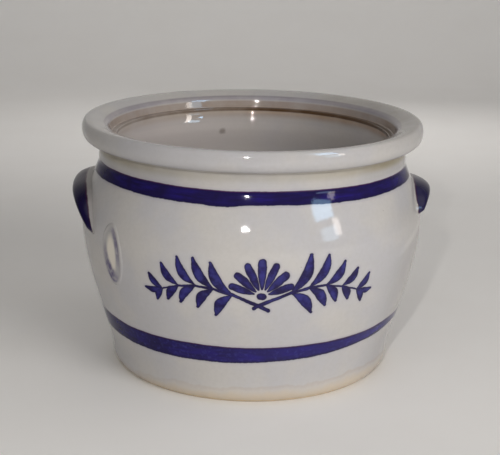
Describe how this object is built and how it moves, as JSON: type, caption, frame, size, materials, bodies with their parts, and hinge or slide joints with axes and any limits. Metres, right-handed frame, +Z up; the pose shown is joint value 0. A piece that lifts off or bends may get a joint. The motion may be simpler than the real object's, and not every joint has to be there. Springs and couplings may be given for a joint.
{
  "type": "stoneware herring pot",
  "caption": "Round bellied salt-glazed stoneware pot for pickled herrings, with a collared rim that seats a lid, crescent lugs on the shoulder and an oval seal on the belly.",
  "frame": {"origin": "centre of the foot, on the table", "axes": "+Z up along the axis on which the pot was thrown, +X through the right lug, -Y to the front"},
  "size_m": [0.2114, 0.2012, 0.1453],
  "materials": {
    "salt_glazed_stoneware": "glossy salt glaze with cobalt bands",
    "cobalt_glaze": "glossy cobalt painted under the salt glaze",
    "seal_clay": "thin salt glaze over bare clay"
  },
  "bodies": {
    "root": {"pot_body": "salt_glazed_stoneware", "left_lug_handle": "cobalt_glaze", "right_lug_handle": "cobalt_glaze", "seal": "seal_clay"}
  },
  "joints": []
}
